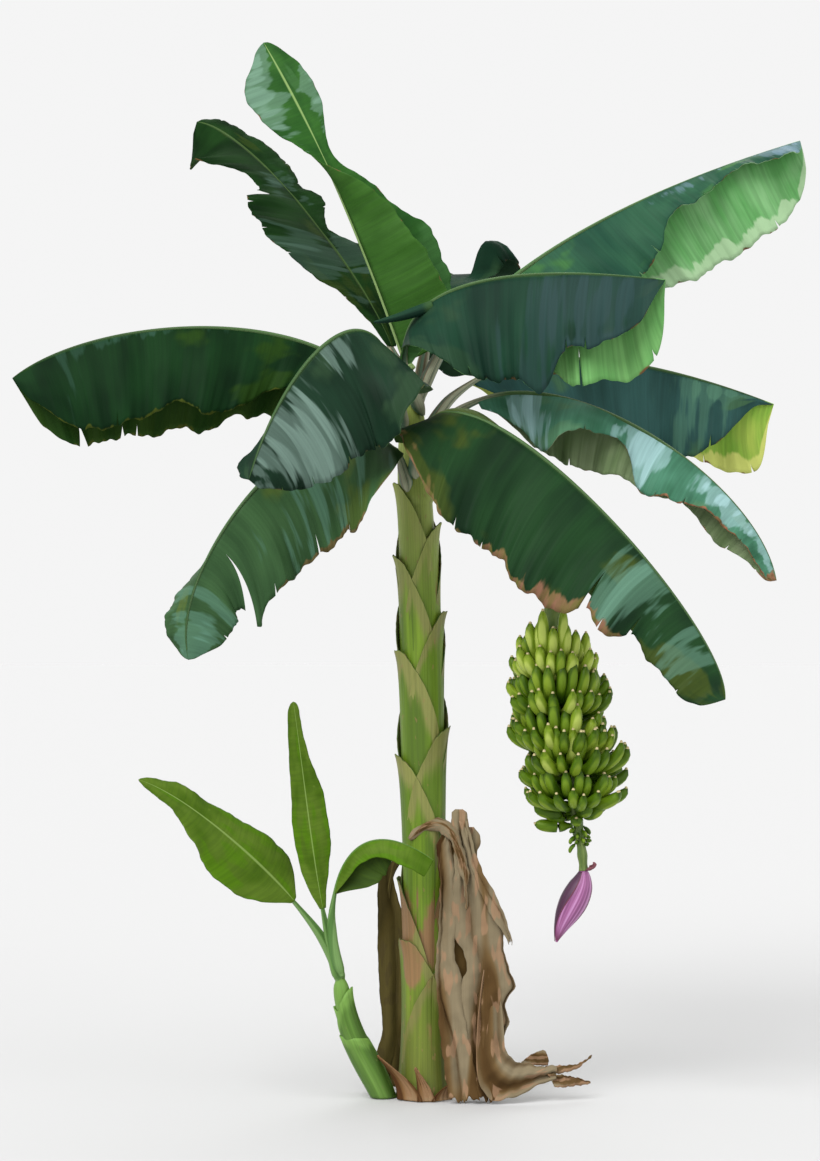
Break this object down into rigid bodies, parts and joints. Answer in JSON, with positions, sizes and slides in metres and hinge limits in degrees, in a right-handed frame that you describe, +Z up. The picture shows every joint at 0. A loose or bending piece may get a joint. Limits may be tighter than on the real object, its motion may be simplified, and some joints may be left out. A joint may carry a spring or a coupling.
{
  "type": "banana plant",
  "caption": "Fruiting banana plant with a sheathed stem, arching leaves, a hanging bunch that ends in its bud, dry lower leaves and a young sucker at the foot.",
  "frame": {"origin": "centre of the flat cut under the stem, at ground level", "axes": "+Z up along the stem, +X to the side where the bunch hangs, +Y away from the side that the bunch and the large drooping leaves face"},
  "size_m": [3.3808, 2.4439, 4.4646],
  "materials": {
    "stem_sheath": "satin, striped along",
    "leaf_blade": "waxy, satin",
    "leaf_pale": "waxy, matt underside",
    "leaf_stalk": "satin",
    "fruit": "smooth skin, satin",
    "fruit_stalk": "satin",
    "flower_bud": "smooth bracts, satin",
    "dry_leaf": "dry, matt",
    "young_leaf": "waxy, satin",
    "young_stem": "satin"
  },
  "bodies": {
    "root": {"pseudostem": "stem_sheath", "petiole_spear": "leaf_stalk", "leaf_spear": "leaf_pale", "petiole_back_left_high": "leaf_stalk", "leaf_back_left_high": "leaf_blade", "petiole_left": "leaf_stalk", "leaf_left_inner": "leaf_blade", "leaf_left_outer": "leaf_blade", "petiole_front_left": "leaf_stalk", "leaf_front_left_inner": "leaf_blade", "leaf_front_left_outer": "leaf_blade", "petiole_low_left": "leaf_stalk", "leaf_low_left_inner": "leaf_blade", "leaf_low_left_outer": "leaf_blade", "petiole_front_right_high": "leaf_stalk", "leaf_front_right_high_inner": "leaf_blade", "leaf_front_right_high_outer": "leaf_blade", "petiole_right_high": "leaf_stalk", "leaf_right_high": "leaf_blade", "petiole_right_back": "leaf_stalk", "leaf_right_back": "leaf_blade", "petiole_right_low": "leaf_stalk", "leaf_right_low_inner": "leaf_blade", "leaf_right_low_outer": "leaf_blade", "petiole_front_right": "leaf_stalk", "leaf_front_right_inner": "leaf_blade", "leaf_front_right_outer": "leaf_blade", "petiole_back": "leaf_stalk", "leaf_back_inner": "leaf_blade", "leaf_back_outer": "leaf_blade", "petiole_back_left": "leaf_stalk", "leaf_back_left_inner": "leaf_blade", "leaf_back_left_outer": "leaf_blade", "fruit_stalk": "fruit_stalk", "bunch": "fruit", "bud": "flower_bud", "sucker_stem": "young_stem", "petiole_sucker_left": "young_stem", "leaf_sucker_left": "young_leaf", "petiole_sucker_up": "young_stem", "leaf_sucker_up": "young_leaf", "petiole_sucker_right": "young_stem", "leaf_sucker_right_inner": "young_leaf", "leaf_sucker_right_outer": "young_leaf", "petiole_dry_front": "dry_leaf", "leaf_dry_front": "dry_leaf", "petiole_dry_tail": "dry_leaf", "leaf_dry_tail": "dry_leaf", "petiole_dry_back": "dry_leaf", "leaf_dry_back": "dry_leaf", "scale_left": "dry_leaf", "scale_front": "dry_leaf", "scale_right": "dry_leaf"}
  },
  "joints": []
}
